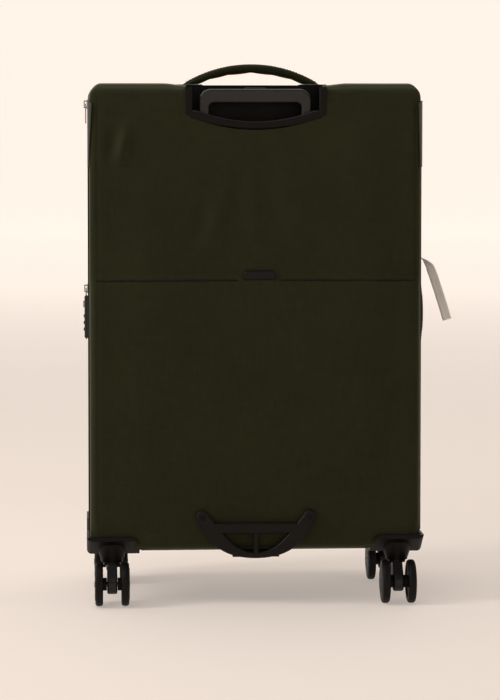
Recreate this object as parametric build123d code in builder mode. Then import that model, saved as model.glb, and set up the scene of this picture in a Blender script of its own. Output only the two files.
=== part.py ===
"""Softside upright suitcase on four twin-wheel casters, in millimetres.

Frame: the floor is Z = 0, +Z is up, X = 0 is the middle of the body's width. The back, with the
telescopic handle, faces -Y. The front, with the lid and its pocket, faces +Y. The lock and the
zip sliders are on the -X side. The lid's hinge and the side handle are on the +X side.
"""

import os

from build123d import *

os.makedirs("parts", exist_ok=True)

# ---------------------------------------------------------------- driving dimensions
BODY_W = 428.0  # between the outer faces of the two sides
BODY_BOTTOM = 71.0
BODY_TOP = 670.0
BACK_Y = -136.0  # outer face of the back panel, below its seam
SHELL_FRONT_Y = 92.0  # where the shell ends and the expansion zip begins
BAND_Y = (98.0, 113.0)  # the narrow section between the two zips
LID_Y = (119.0, 126.0)
FRONT_Y = 138.0  # outer face of the front pocket
WALL = 5.0  # padded fabric wall
PANEL = 9.0  # padded back panel
CORNER_R = 16.0  # corners of the body's outline
EDGE_R = 13.0  # edge between the back and the sides
CLEAR = 0.3  # clearance between pieces that move past each other
BODY_H = BODY_TOP - BODY_BOTTOM
BODY_MID_Z = (BODY_TOP + BODY_BOTTOM) / 2
SIDE_X = BODY_W / 2

SEAM_Z = 420.0  # horizontal seam across the back panel
LAYER = 2.5  # below the seam the panel lies this much further out

TUBE_X = 66.0  # trolley tubes, either side of the middle
TUBE_Y = -112.0
TUBE_WALL = 0.9
TUBE_R = 3.0
OUTER_TUBE = (16.4, 14.4)
MIDDLE_TUBE = (14.0, 12.0)
INNER_TUBE = (11.6, 9.6)
TUBE_BOTTOM = 76.2
OUTER_TUBE_TOP = 610.0
MIDDLE_TUBE_TOP = 617.0
INNER_TUBE_TOP = 622.0

BEZEL_X = 91.0
BEZEL_WIDTH = 9.5
CUP_X = 90.5
CUP_WALL = 2.8
CUP_FLOOR = 614.0
CUP_FRONT_Y = -84.0
GRIP_TOP = 665.0
GRIP_BAR = 18.0
BUTTON_X = 14.0

CASTER_X = 185.0
CASTER_Y = {"back": -110.0, "front": 67.5}
SIDES = {"left": -1, "right": 1}
TRAIL = 18.0  # the wheels stand this far behind the swivel axis, towards -Y
WHEEL_R = 28.0
WHEEL_X = (11.8, 21.8)  # inner and outer face of a wheel, from the swivel axis

LOCK_Z = (327.0, 385.0)
LOCK_Y = (98.6, 111.2)
HANDLE_Y = -22.0  # the carry handles stand in the middle of the shell's depth
SIDE_HANDLE_Z = 370.0
UPWARDS = (Align.CENTER, Align.CENTER, Align.MIN)


def save(piece, name):
    """Labels a finished piece and writes it as one STEP file."""
    piece.part.label = name
    export_step(piece.part, f"parts/{name}.step")


def facing_back(y):
    """The plane at that Y seen from the back: its x is +X, its y is +Z, and its normal is -Y."""
    return Plane(origin=(0, y, 0), x_dir=(1, 0, 0), z_dir=(0, -1, 0))


def box_between(low, high, mode=Mode.ADD):
    """A box from its lowest to its highest corner, on the workplane of the part in progress."""
    centre = [(a + b) / 2 for a, b in zip(low, high)]
    size = [b - a for a, b in zip(low, high)]
    with Locations(tuple(centre)):
        Box(*size, mode=mode)


def body_slab(y_low, y_high, inset=0.0, mode=Mode.ADD):
    """The body's rounded outline, extruded between two depths."""
    with BuildSketch(facing_back(y_high)) as outline:
        with Locations((0, BODY_MID_Z)):
            RectangleRounded(BODY_W - 2 * inset, BODY_H - 2 * inset, CORNER_R - inset / 2)
    extrude(outline.sketch, amount=y_high - y_low, mode=mode)


def ring(y_low, y_high, inset, thickness):
    """A band that follows the body's outline."""
    body_slab(y_low, y_high, inset)
    body_slab(y_low, y_high, inset + thickness, Mode.SUBTRACT)


# ---------------------------------------------------------------- corner housings
HOUSING_X = (149.5, 217.5)
HOUSING_Z = (64.5, 90.0)
HOUSING_LENGTH = 63.5
HOUSING_WALL = 3.0
HOUSING_LEAN = 30.0  # how far the end face leans in at the bottom
HOUSING_END = {"back": BACK_Y - 3, "front": SHELL_FRONT_Y - 0.5}  # outer end face
HOUSING_INWARD = {"back": 1, "front": -1}
CONE_R = (13.7, 21.5)
CONE_Z = (54.5, 79.0)
HEAD_R = 11.5
HEAD_Z = (51.0, 64.0)
PIN_R = 3.0
BORE_R = PIN_R + 0.05


def notch(gap=0.0):
    """Cuts the places of the four corner housings out of the part in progress."""
    for end, outer_y in HOUSING_END.items():
        ys = sorted((outer_y - HOUSING_INWARD[end] * 5, outer_y + HOUSING_INWARD[end] * (HOUSING_LENGTH + gap)))
        for side in SIDES.values():
            xs = sorted((side * (HOUSING_X[0] - gap), side * (HOUSING_X[1] + 5)))
            box_between((xs[0], ys[0], 60), (xs[1], ys[1], HOUSING_Z[1] + gap), Mode.SUBTRACT)


def housing_profile(x, end, inset=0.0):
    """A housing's outline seen from the side, on the plane at that X."""
    outer_y, inward = HOUSING_END[end], HOUSING_INWARD[end]
    inner_y = outer_y + inward * HOUSING_LENGTH
    low, high = HOUSING_Z
    with BuildSketch(Plane.YZ.offset(x)) as profile:
        with BuildLine():
            Polyline(
                (outer_y, high),
                (outer_y, high - 5),
                (outer_y + inward * HOUSING_LEAN, low),
                (inner_y, low),
                (inner_y, high),
                close=True,
            )
        make_face()
        if inset:
            offset(amount=-inset, mode=Mode.REPLACE)
    return profile.sketch


def corner_housing(side, end):
    """A hollow moulded corner, open into the body, with the fixed cone that the caster turns in."""
    outer_y, inward = HOUSING_END[end], HOUSING_INWARD[end]
    inner_y = outer_y + inward * HOUSING_LENGTH
    width = HOUSING_X[1] - HOUSING_X[0]
    high = HOUSING_Z[1]
    axis_at = (side * CASTER_X, CASTER_Y[end])
    with BuildPart() as housing:
        extrude(housing_profile(side * HOUSING_X[0], end), amount=side * width)
        outer_face = housing.faces().sort_by(Axis.X)[-1 if side > 0 else 0]
        fillet([e for e in outer_face.edges() if e.center().Z < high - 3], 6)
        inner_face = housing.faces().sort_by(Axis.X)[0 if side > 0 else -1]
        fillet(inner_face.edges().filter_by(Axis.Y).sort_by(Axis.Z)[-1], 13)
        hollow = housing_profile(side * (HOUSING_X[0] + HOUSING_WALL), end, HOUSING_WALL)
        extrude(hollow, amount=side * (width - 2 * HOUSING_WALL), mode=Mode.SUBTRACT)
        xs = sorted((side * (HOUSING_X[0] + 13), side * (HOUSING_X[1] - HOUSING_WALL)))
        ys = sorted((outer_y + inward * HOUSING_WALL, inner_y - inward * HOUSING_WALL))
        box_between((xs[0], ys[0], high - HOUSING_WALL - 1), (xs[1], ys[1], high + 1), Mode.SUBTRACT)
        with Locations((*axis_at, (CONE_Z[0] + CONE_Z[1]) / 2)):
            Cone(CONE_R[0], CONE_R[1], CONE_Z[1] - CONE_Z[0])
        with Locations((*axis_at, CONE_Z[0])):
            Cylinder(HEAD_R + 0.8, 10.5, align=UPWARDS, mode=Mode.SUBTRACT)
            Cylinder(PIN_R, 30, align=UPWARDS, mode=Mode.SUBTRACT)
    return housing


for end_name in HOUSING_END:
    for side_name, side_sign in SIDES.items():
        save(corner_housing(side_sign, end_name), f"corner_housing_{end_name}_{side_name}")

# ---------------------------------------------------------------- casters
LEG_X = 6.5
RIM_R = 22.5
HUB_R = 8.2


def caster_axes():
    """Every caster's name with its swivel axis."""
    for end, y in CASTER_Y.items():
        for side, sign in SIDES.items():
            yield f"{end}_{side}", sign * CASTER_X, y


def fork(x, y):
    """The single leg between the wheels, with the round head that turns in the housing's cone."""
    with BuildPart() as leg:
        with BuildSketch(Plane.YZ.offset(x - LEG_X)):
            with Locations((y - TRAIL, WHEEL_R)):
                Circle(12.7)
            with Locations((y - 1.5, HEAD_Z[0])):
                Rectangle(19, 5)
            make_hull()
        extrude(amount=2 * LEG_X)
        fillet(leg.faces().filter_by(Axis.X).edges(), 2.2)
        with Locations((x, y, HEAD_Z[0])):
            Cylinder(HEAD_R, HEAD_Z[1] - HEAD_Z[0], align=UPWARDS)
        with Locations((x, y, 46)):
            Cylinder(BORE_R, 20, align=UPWARDS, mode=Mode.SUBTRACT)
        with Locations(Location((x, y - TRAIL, WHEEL_R), (0, 90, 0))):
            Cylinder(PIN_R, 4 * LEG_X, mode=Mode.SUBTRACT)
    return leg


def axle(x, y):
    """The steel pin through the leg that both wheels turn on."""
    with BuildPart() as pin:
        with Locations(Location((x, y - TRAIL, WHEEL_R), (0, 90, 0))):
            Cylinder(PIN_R, 39)
    return pin


def wheel(x, y, hand):
    """One wheel: hub, dished disc, rim and rounded tread in one moulding."""
    inner, outer = WHEEL_X
    centre = (x, y - TRAIL, WHEEL_R)
    tread = (inner + outer) / 2
    with BuildPart() as one_wheel:
        with BuildSketch(Plane(origin=centre, x_dir=(hand, 0, 0), z_dir=(0, -hand, 0))):
            with BuildLine():
                to_tread = Polyline(
                    (outer - 1.8, BORE_R),
                    (LEG_X + 0.4, BORE_R),
                    (LEG_X + 0.4, HUB_R),
                    (inner + 2, HUB_R),
                    (inner + 2, RIM_R - 3),
                    (inner, RIM_R - 1),
                    (inner, WHEEL_R - 3.2),
                )
                Spline(to_tread @ 1, (inner + 1.4, WHEEL_R - 0.7), (tread, WHEEL_R), (outer - 1.4, WHEEL_R - 0.7),
                       (outer, WHEEL_R - 3.2))
                Polyline(
                    (outer, WHEEL_R - 3.2),
                    (outer, RIM_R - 1),
                    (outer - 2.2, RIM_R - 3),
                    (outer - 2.2, HUB_R + 1),
                    (outer - 0.6, HUB_R),
                    (outer - 0.6, 0),
                    (outer - 1.8, 0),
                    (outer - 1.8, BORE_R),
                )
            make_face()
        revolve(axis=Axis(centre, (1, 0, 0)))
    return one_wheel


with BuildPart() as swivel_kingpins:
    for _, pin_x, pin_y in caster_axes():
        with Locations((pin_x, pin_y, 47)):
            Cylinder(PIN_R, 32, align=UPWARDS)
        with Locations((pin_x, pin_y, CONE_Z[1])):
            Cylinder(2 * PIN_R, 2, align=UPWARDS)
save(swivel_kingpins, "swivel_kingpins")

for caster, caster_x, caster_y in caster_axes():
    save(fork(caster_x, caster_y), f"caster_fork_{caster}")
    save(axle(caster_x, caster_y), f"wheel_axle_{caster}")
    for wheel_hand, wheel_name in ((-1, "a"), (1, "b")):
        save(wheel(caster_x, caster_y, wheel_hand), f"wheel_{caster}_{wheel_name}")

# ---------------------------------------------------------------- shell: back panel, gusset, board, hoops
TAG_X = (-17.0, 25.4)  # the identity tag's grip
TAG_GRIP_Z = (421.0, 432.6)
TAG_CARD_Z = (345.0, 421.0)
TAG_CARD_Y = (-134.9, -133.9)


def bezel_outline(y, inset=0.0):
    """The sagging U of the handle's bezel on the plane at that depth, closed above the body."""
    half = BEZEL_X - inset
    with BuildSketch(facing_back(y)) as outline:
        with BuildLine():
            side = Line((half, BODY_TOP + 10), (half, 633 + inset / 2))
            lower = Line(side @ 1, (half - 8, 627.5 + inset))
            sag = ThreePointArc(lower @ 1, (0, CUP_FLOOR + inset), (8 - half, 627.5 + inset))
            other = Line(sag @ 1, (-half, 633 + inset / 2))
            up = Line(other @ 1, (-half, BODY_TOP + 10))
            Line(up @ 1, side @ 0)
        make_face()
    return outline.sketch


with BuildPart() as back_panel:
    body_slab(BACK_Y, BACK_Y + 2 * EDGE_R)
    fillet(back_panel.faces().sort_by(Axis.Y)[0].edges(), EDGE_R - 1)
    body_slab(BACK_Y + PANEL, BACK_Y + 3 * EDGE_R, mode=Mode.SUBTRACT)
    box_between((-SIDE_X, BACK_Y - 1, SEAM_Z), (SIDE_X, BACK_Y + LAYER, BODY_TOP + 1), Mode.SUBTRACT)
    box_between(
        (TAG_X[0] + 2, TAG_CARD_Y[0] - CLEAR, TAG_CARD_Z[0] - 1),
        (TAG_X[1] - 2, BACK_Y + LAYER, SEAM_Z + 1),
        Mode.SUBTRACT,
    )
    extrude(bezel_outline(BACK_Y + PANEL + 1), amount=2 * PANEL, mode=Mode.SUBTRACT)
    notch()
save(back_panel, "back_panel")

with BuildPart() as rear_gusset:
    body_slab(BACK_Y, SHELL_FRONT_Y)
    fillet(rear_gusset.faces().sort_by(Axis.Y)[0].edges(), EDGE_R - 1)
    body_slab(BACK_Y - 1, BACK_Y + PANEL, mode=Mode.SUBTRACT)
    body_slab(BACK_Y, SHELL_FRONT_Y + 1, WALL, Mode.SUBTRACT)
    cup_bottom = CUP_FLOOR - CUP_WALL
    box_between((-BEZEL_X, BACK_Y, cup_bottom), (BEZEL_X, CUP_FRONT_Y, BODY_TOP + 1), Mode.SUBTRACT)
    notch()
save(rear_gusset, "rear_gusset")

with BuildPart() as back_board:
    box_between((-200, BACK_Y + PANEL + 0.2, 92), (200, BACK_Y + PANEL + 2.2, 606))
save(back_board, "back_board")

with BuildPart() as frame_hoops:
    ring(-72, -66, WALL, 3)
    ring(SHELL_FRONT_Y - 20, SHELL_FRONT_Y - 14, WALL, 3)
    notch()
save(frame_hoops, "frame_hoops")

# ---------------------------------------------------------------- trolley handle

def tube_pair(size, bottom, top):
    """Two upright tubes of rounded rectangular section, one on each side."""
    bore = (size[0] - 2 * TUBE_WALL, size[1] - 2 * TUBE_WALL)
    with BuildPart() as pair:
        with BuildSketch(Plane.XY.offset(bottom)):
            with Locations((-TUBE_X, TUBE_Y), (TUBE_X, TUBE_Y)):
                RectangleRounded(*size, TUBE_R)
                RectangleRounded(*bore, TUBE_R - TUBE_WALL, mode=Mode.SUBTRACT)
        extrude(amount=top - bottom)
    return pair


save(tube_pair(OUTER_TUBE, TUBE_BOTTOM, OUTER_TUBE_TOP), "outer_tubes")
save(tube_pair(MIDDLE_TUBE, TUBE_BOTTOM + 4, MIDDLE_TUBE_TOP), "middle_tubes")
save(tube_pair(INNER_TUBE, TUBE_BOTTOM + 8, INNER_TUBE_TOP), "inner_tubes")

with BuildPart() as tube_foot_bracket:
    box_between((-82, -122, TUBE_BOTTOM), (82, -102, 100))
    fillet(tube_foot_bracket.edges().filter_by(Axis.Z), 4)
    with BuildSketch(Plane.XY.offset(TUBE_BOTTOM)):
        with Locations((-TUBE_X, TUBE_Y), (TUBE_X, TUBE_Y)):
            RectangleRounded(*OUTER_TUBE, TUBE_R)
    extrude(amount=30, mode=Mode.SUBTRACT)
save(tube_foot_bracket, "tube_foot_bracket")

with BuildPart() as handle_bezel:
    bezel_back = BACK_Y + LAYER - 1
    cup_back = BACK_Y + PANEL - CUP_WALL
    extrude(bezel_outline(BACK_Y + PANEL), amount=BACK_Y + PANEL - bezel_back)
    box_between((-CUP_X, BACK_Y + PANEL, CUP_FLOOR - CUP_WALL), (CUP_X, CUP_FRONT_Y, BODY_TOP))
    box_between(
        (CUP_WALL - CUP_X, cup_back, CUP_FLOOR),
        (CUP_X - CUP_WALL, CUP_FRONT_Y - CUP_WALL, BODY_TOP + 20),
        Mode.SUBTRACT,
    )
    extrude(bezel_outline(cup_back, BEZEL_WIDTH), amount=20, mode=Mode.SUBTRACT)
    chamfer(handle_bezel.faces().sort_by(Axis.Y)[0].edges(), 1.5)
    box_between((-BEZEL_X, bezel_back, BODY_TOP - 2.5), (BEZEL_X, CUP_FRONT_Y - WALL, BODY_TOP + 20), Mode.SUBTRACT)
    with BuildSketch(Plane.XY.offset(600)):
        with Locations((-TUBE_X, TUBE_Y), (TUBE_X, TUBE_Y)):
            RectangleRounded(MIDDLE_TUBE[0] + 2 * CLEAR, MIDDLE_TUBE[1] + 2 * CLEAR, TUBE_R)
    extrude(amount=40, mode=Mode.SUBTRACT)
save(handle_bezel, "handle_bezel")

with BuildPart() as trolley_grip:
    grip_x = TUBE_X + 6.6
    with BuildSketch(facing_back(TUBE_Y - 11)):
        with BuildLine():
            Polyline(
                (-grip_x, INNER_TUBE_TOP),
                (-grip_x, GRIP_TOP),
                (grip_x, GRIP_TOP),
                (grip_x, INNER_TUBE_TOP),
                (grip_x - 13.2, INNER_TUBE_TOP),
                (grip_x - 13.2, GRIP_TOP - GRIP_BAR),
                (13.2 - grip_x, GRIP_TOP - GRIP_BAR),
                (13.2 - grip_x, INNER_TUBE_TOP),
                close=True,
            )
        make_face()
    extrude(amount=-22)
    upright = trolley_grip.edges().filter_by(Axis.Y)
    fillet(upright.group_by(Axis.Z)[-1], 16)
    fillet(trolley_grip.edges().filter_by(Axis.Y).filter_by(lambda e: abs(e.center().Z - GRIP_TOP + GRIP_BAR) < 1), 7)
    outline_edges = trolley_grip.faces().filter_by(Axis.Y).edges()
    fillet(outline_edges.filter_by(lambda e: e.center().Z > INNER_TUBE_TOP + 1), 3)
    slot_x = BUTTON_X + CLEAR
    with BuildSketch(facing_back(TUBE_Y + 7.3)):
        with BuildLine():
            Polyline(
                (-slot_x, 651.5),
                (-slot_x, 656),
                (-slot_x - 5, GRIP_TOP),
                (-slot_x - 5, GRIP_TOP + 5),
                (slot_x + 5, GRIP_TOP + 5),
                (slot_x + 5, GRIP_TOP),
                (slot_x, 656),
                (slot_x, 651.5),
                close=True,
            )
        make_face()
    extrude(amount=14.6, mode=Mode.SUBTRACT)
    with BuildSketch(Plane.XY.offset(INNER_TUBE_TOP)):
        with Locations((-TUBE_X, TUBE_Y), (TUBE_X, TUBE_Y)):
            RectangleRounded(INNER_TUBE[0] - 2 * TUBE_WALL, INNER_TUBE[1] - 2 * TUBE_WALL, TUBE_R - TUBE_WALL)
    extrude(amount=-24)
save(trolley_grip, "trolley_grip")

with BuildPart() as push_button:
    box_between((-BUTTON_X, TUBE_Y - 7, 656.5), (BUTTON_X, TUBE_Y + 7, GRIP_TOP + 1.5))
    fillet(push_button.faces().sort_by(Axis.Z)[-1].edges(), 1.5)
save(push_button, "push_button")

# ---------------------------------------------------------------- back trim: grab handle, screws, identity tag
GRAB_X = 69.0  # middle of the arms' round ends
GRAB_ARM = 16.0
GRAB_TOP = 116.0
GRAB_LOW = 63.0
GRAB_DEPTH = 8.0
CROSSBAR_Z = (94.0, 107.5)
SCREW_R = 2.6

with BuildPart() as bottom_grab_handle:
    with BuildSketch(facing_back(BACK_Y)):
        with BuildLine():
            outer = Spline(
                (-GRAB_X - 7, GRAB_TOP - 3),
                (-61, 88),
                (-44, 72.5),
                (-13, GRAB_LOW),
                (13, GRAB_LOW),
                (44, 72.5),
                (61, 88),
                (GRAB_X + 7, GRAB_TOP - 3),
            )
            Polyline(
                outer @ 1,
                (GRAB_X - 7, GRAB_TOP + 3),
                (53, CROSSBAR_Z[1]),
                (-53, CROSSBAR_Z[1]),
                (7 - GRAB_X, GRAB_TOP + 3),
                outer @ 0,
            )
        make_face()
        with Locations((-GRAB_X, GRAB_TOP), (GRAB_X, GRAB_TOP)):
            Circle(GRAB_ARM / 2)
        for side in (-1, 1):
            with BuildLine():
                lower = Spline((side * 42, CROSSBAR_Z[0]), (side * 29, 80.5), (side * 13, 71.5), (side * 3.1, 69.5))
                Polyline(lower @ 1, (side * 3.1, CROSSBAR_Z[0]), lower @ 0)
            make_face(mode=Mode.SUBTRACT)
    extrude(amount=GRAB_DEPTH)
    chamfer(bottom_grab_handle.faces().sort_by(Axis.Y)[0].edges(), 1.4)
    box_between((-30, BACK_Y, GRAB_LOW), (30, BACK_Y + 22, BODY_BOTTOM))
    with BuildSketch(facing_back(BACK_Y - GRAB_DEPTH)):
        with Locations((-GRAB_X, GRAB_TOP), (GRAB_X, GRAB_TOP)):
            Circle(SCREW_R + 1.4)
    extrude(amount=-2.5, mode=Mode.SUBTRACT)
save(bottom_grab_handle, "bottom_grab_handle")

with BuildPart() as panel_screws:
    with BuildSketch(facing_back(BACK_Y - GRAB_DEPTH + 2.5)):
        with Locations((-GRAB_X, GRAB_TOP), (GRAB_X, GRAB_TOP)):
            Circle(SCREW_R + 1.2)
    extrude(amount=1.8)
    with BuildSketch(facing_back(BACK_Y - GRAB_DEPTH + 0.7)):
        with Locations((-GRAB_X, GRAB_TOP), (GRAB_X, GRAB_TOP)):
            Rectangle(4.4, 1)
            Rectangle(1, 4.4)
    extrude(amount=-1.2, mode=Mode.SUBTRACT)
save(panel_screws, "panel_screws")

tag_middle = sum(TAG_X) / 2
tag_width = TAG_X[1] - TAG_X[0]

with BuildPart() as id_tag_slot:
    box_between((TAG_X[0], BACK_Y - 2, 412), (TAG_X[1], BACK_Y, 420.4))
    fillet(id_tag_slot.faces().sort_by(Axis.Y)[0].edges(), 1.2)
save(id_tag_slot, "id_tag_slot")

with BuildPart() as id_tag:
    with BuildSketch(facing_back(TAG_CARD_Y[1])):
        with Locations((tag_middle, TAG_GRIP_Z[0])):
            Circle(tag_width / 2)
            with Locations((0, -50)):
                Rectangle(100, 100, mode=Mode.SUBTRACT)
            with Locations((0, 56 + 1.6)):
                Rectangle(100, 92, mode=Mode.SUBTRACT)
    extrude(amount=5)
    fillet(id_tag.faces().sort_by(Axis.Y)[0].edges(), 1.8)
    box_between((TAG_X[0] + 3, TAG_CARD_Y[0], TAG_CARD_Z[0]), (TAG_X[1] - 3, TAG_CARD_Y[1], TAG_CARD_Z[1]))
save(id_tag, "id_tag")

# ---------------------------------------------------------------- expansion section, zips and lid
ZIP_INSET = 0.5
ZIP_DEPTH = 3.0

with BuildPart() as expansion_zip:
    ring(SHELL_FRONT_Y + 0.2, BAND_Y[0] - CLEAR, ZIP_INSET, ZIP_DEPTH)
save(expansion_zip, "expansion_zip")

with BuildPart() as expansion_gusset:
    ring(SHELL_FRONT_Y - 10, BAND_Y[1] - 5, WALL + CLEAR, 1.2)
    notch(1)
save(expansion_gusset, "expansion_gusset")

with BuildPart() as front_band:
    ring(BAND_Y[0], BAND_Y[1], 0, WALL)
    box_between((-SIDE_X - 1, LOCK_Y[0], LOCK_Z[0]), (-SIDE_X + WALL + 1, LOCK_Y[1], LOCK_Z[1]), Mode.SUBTRACT)
save(front_band, "front_band")

with BuildPart() as main_zip:
    ring(BAND_Y[1] + 0.2, LID_Y[0] - CLEAR, ZIP_INSET, ZIP_DEPTH)
    box_between((SIDE_X - 10, BAND_Y[1], 95), (SIDE_X + 1, LID_Y[0], 646), Mode.SUBTRACT)
save(main_zip, "main_zip")

with BuildPart() as lid_hinge_strip:
    box_between((SIDE_X - 2.5, BAND_Y[1], 95.3), (SIDE_X - 1, LID_Y[0], 645.7))
save(lid_hinge_strip, "lid_hinge_strip")

with BuildPart() as front_lid:
    body_slab(LID_Y[0], LID_Y[1])
    fillet(front_lid.faces().sort_by(Axis.Y)[-1].edges(), 5)
save(front_lid, "front_lid")

POCKET_X = 190.0
POCKET_Z = (98.0, 560.0)

with BuildPart() as front_pocket:
    with BuildSketch(facing_back(FRONT_Y)):
        with Locations((0, sum(POCKET_Z) / 2)):
            RectangleRounded(2 * POCKET_X, POCKET_Z[1] - POCKET_Z[0], 30)
    extrude(amount=FRONT_Y - LID_Y[1])
    fillet(front_pocket.faces().sort_by(Axis.Y)[-1].edges(), 10)
save(front_pocket, "front_pocket")

# ---------------------------------------------------------------- zip sliders and pulls
BRIDGE_X = 1.5
BRIDGE_Z = (2.2, 4.7, 6.2)  # foot, underside and top of the bridge above the chain
PULL_Z = (2.7, 4.3)


def zip_place(x, y, z, face):
    """The workplane of a slider: its x is across the zip, its y is up, and its z is outward."""
    across = {"left": (0, -1, 0), "front": (-1, 0, 0)}[face]
    outward = {"left": (-1, 0, 0), "front": (0, 1, 0)}[face]
    return Plane(origin=(x, y, z), x_dir=across, z_dir=outward)


def slider(place):
    """A slider's outer plate with the bridge that its pull hangs from."""
    foot, under, top = BRIDGE_Z
    with BuildPart(place) as body:
        box_between((-3.6, -6.5, CLEAR), (3.6, 6.5, foot))
        fillet(body.edges().filter_by(Axis(place.origin, place.z_dir)), 2.4)
        box_between((-BRIDGE_X, -5.2, foot), (BRIDGE_X, 5.2, top))
        box_between((-BRIDGE_X - 1, -3.4, foot), (BRIDGE_X + 1, 3.4, under), Mode.SUBTRACT)
    return body


def pull(place):
    """A pull hanging from a slider's bridge: a crossbar under the bridge, two arms and a tab."""
    low, high = PULL_Z
    with BuildPart(place) as body:
        box_between((-4.2, -26, low), (4.2, 0.8, high))
        box_between((-2.2, -9, low - 1), (2.2, -0.8, high + 1), Mode.SUBTRACT)
        fillet(body.edges().filter_by(Axis(place.origin, place.z_dir)).group_by(Axis.Z)[0], 3)
    return body


ZIP_PLACES = {
    "main_zip_upper": zip_place(-SIDE_X, (BAND_Y[1] + LID_Y[0]) / 2, 394, "left"),
    "main_zip_lower": zip_place(-SIDE_X, (BAND_Y[1] + LID_Y[0]) / 2, 350, "left"),
    "expansion_zip": zip_place(-SIDE_X, (SHELL_FRONT_Y + BAND_Y[0]) / 2, 646, "left"),
    "pocket_zip": zip_place(-172, FRONT_Y, 300, "front"),
}

for zip_name, zip_plane in ZIP_PLACES.items():
    save(slider(zip_plane), f"{zip_name}_slider")
    save(pull(zip_plane), f"{zip_name}_pull")

# ---------------------------------------------------------------- lock
DIAL_R = 4.6
DIAL_PITCH = 9.0
DIAL_AXIS_X = -SIDE_X - 2.6
DIAL_Y = sum(LOCK_Y) / 2
LOCK_OUT = 6.0

with BuildPart() as lock_body:
    box_between((-SIDE_X - LOCK_OUT, LOCK_Y[0], LOCK_Z[0]), (-SIDE_X + WALL, LOCK_Y[1], LOCK_Z[1]))
    fillet(lock_body.faces().sort_by(Axis.X)[0].edges(), 2.2)
    for dial in range(3):
        z = LOCK_Z[0] + 12 + dial * DIAL_PITCH
        box_between((-SIDE_X - 9, DIAL_Y - 5.2, z - 2.3), (-SIDE_X + 3.2, DIAL_Y + 5.2, z + 2.3), Mode.SUBTRACT)
    box_between((-SIDE_X - 9, DIAL_Y - 5.3, 368.7), (-SIDE_X - 1, DIAL_Y + 5.3, 378.3), Mode.SUBTRACT)
save(lock_body, "lock_body")

for dial in range(3):
    with BuildPart() as lock_dial:
        with Locations((DIAL_AXIS_X, DIAL_Y, LOCK_Z[0] + 12 + dial * DIAL_PITCH)):
            Cylinder(DIAL_R, 4)
            with PolarLocations(DIAL_R + 0.3, 10):
                Cylinder(0.7, 5, mode=Mode.SUBTRACT)
    save(lock_dial, f"lock_dial_{dial + 1}")

with BuildPart() as lock_button:
    box_between((-SIDE_X - LOCK_OUT - 1.8, DIAL_Y - 5, 369), (-SIDE_X - 3, DIAL_Y + 5, 378))
    fillet(lock_button.faces().sort_by(Axis.X)[0].edges(), 1)
save(lock_button, "lock_button")

# ---------------------------------------------------------------- carry handles, their anchors and the ribbon tag
ANCHOR_W = 40.0
TOP_HANDLE = Plane(origin=(0, HANDLE_Y, BODY_TOP), x_dir=(1, 0, 0), z_dir=(0, 0, 1))
SIDE_HANDLE = Plane(origin=(SIDE_X, HANDLE_Y, SIDE_HANDLE_Z), x_dir=(0, 0, -1), z_dir=(1, 0, 0))


def carry_handle(place, span, rise, thick, width, foot):
    """A padded handle that bows outward between its two flat feet."""
    half = span / 2
    with BuildPart() as handle:
        with BuildSketch(Plane(origin=place.origin, x_dir=place.x_dir, z_dir=-place.y_dir)):
            with BuildLine():
                outer = ThreePointArc((-half, 2), (0, rise), (half, 2))
                Line(outer @ 1, (half - foot, 2))
                inner = ThreePointArc((half - foot, 2), (0, rise - thick), (foot - half, 2))
                Line(inner @ 1, outer @ 0)
            make_face()
        extrude(amount=width / 2, both=True)
        long_edges = handle.faces().filter_by(Axis(place.origin, place.y_dir)).edges()
        fillet(long_edges.filter_by(lambda e: e.length > 60), 3)
    return handle


save(carry_handle(TOP_HANDLE, 183, 29, 12.5, 34, 23), "top_carry_handle")
save(carry_handle(SIDE_HANDLE, 165, 15, 8, 34, 30), "side_carry_handle")

with BuildPart() as handle_anchors:
    for place, span in ((TOP_HANDLE, 183), (SIDE_HANDLE, 165)):
        for end in (-1, 1):
            with Locations(place):
                with Locations((end * (span / 2 - 10), 0, 0.8)):
                    Box(34, ANCHOR_W, 1.6)
save(handle_anchors, "handle_anchors")

RIBBON_W = 12.0
with BuildPart() as hang_tag:
    with BuildSketch(facing_back(HANDLE_Y - 19)):
        with BuildLine():
            Polyline((SIDE_X + 5, 446), (SIDE_X + 22, 434), (SIDE_X + 45, 362))
        trace(line_width=RIBBON_W)
    extrude(amount=0.8)
save(hang_tag, "hang_tag")
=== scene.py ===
"""The looks of a softside upright suitcase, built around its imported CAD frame.

Everything is in metres in the CAD's own frame: floor at Z = 0, back towards -Y, lock side -X.
"""

import math

import bmesh
import bpy
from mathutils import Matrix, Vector, noise
from mathutils.bvhtree import BVHTree


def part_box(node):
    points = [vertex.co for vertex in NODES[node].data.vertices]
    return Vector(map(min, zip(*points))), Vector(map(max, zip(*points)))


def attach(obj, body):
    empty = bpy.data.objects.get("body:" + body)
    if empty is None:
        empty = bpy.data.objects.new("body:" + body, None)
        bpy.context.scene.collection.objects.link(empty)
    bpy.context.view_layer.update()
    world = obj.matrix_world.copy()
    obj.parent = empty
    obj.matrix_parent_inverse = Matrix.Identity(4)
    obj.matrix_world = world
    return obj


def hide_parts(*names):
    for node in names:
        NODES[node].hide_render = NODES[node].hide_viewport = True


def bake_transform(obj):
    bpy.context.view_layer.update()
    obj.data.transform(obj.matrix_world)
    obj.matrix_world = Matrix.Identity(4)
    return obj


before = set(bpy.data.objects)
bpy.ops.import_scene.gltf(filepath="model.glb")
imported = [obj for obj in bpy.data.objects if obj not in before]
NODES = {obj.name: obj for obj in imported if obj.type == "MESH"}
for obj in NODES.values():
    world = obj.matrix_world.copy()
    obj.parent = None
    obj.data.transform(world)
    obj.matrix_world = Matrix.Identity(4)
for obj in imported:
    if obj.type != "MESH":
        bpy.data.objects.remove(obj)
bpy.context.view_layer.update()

MM = 0.001
SCENE = bpy.context.scene

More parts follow.
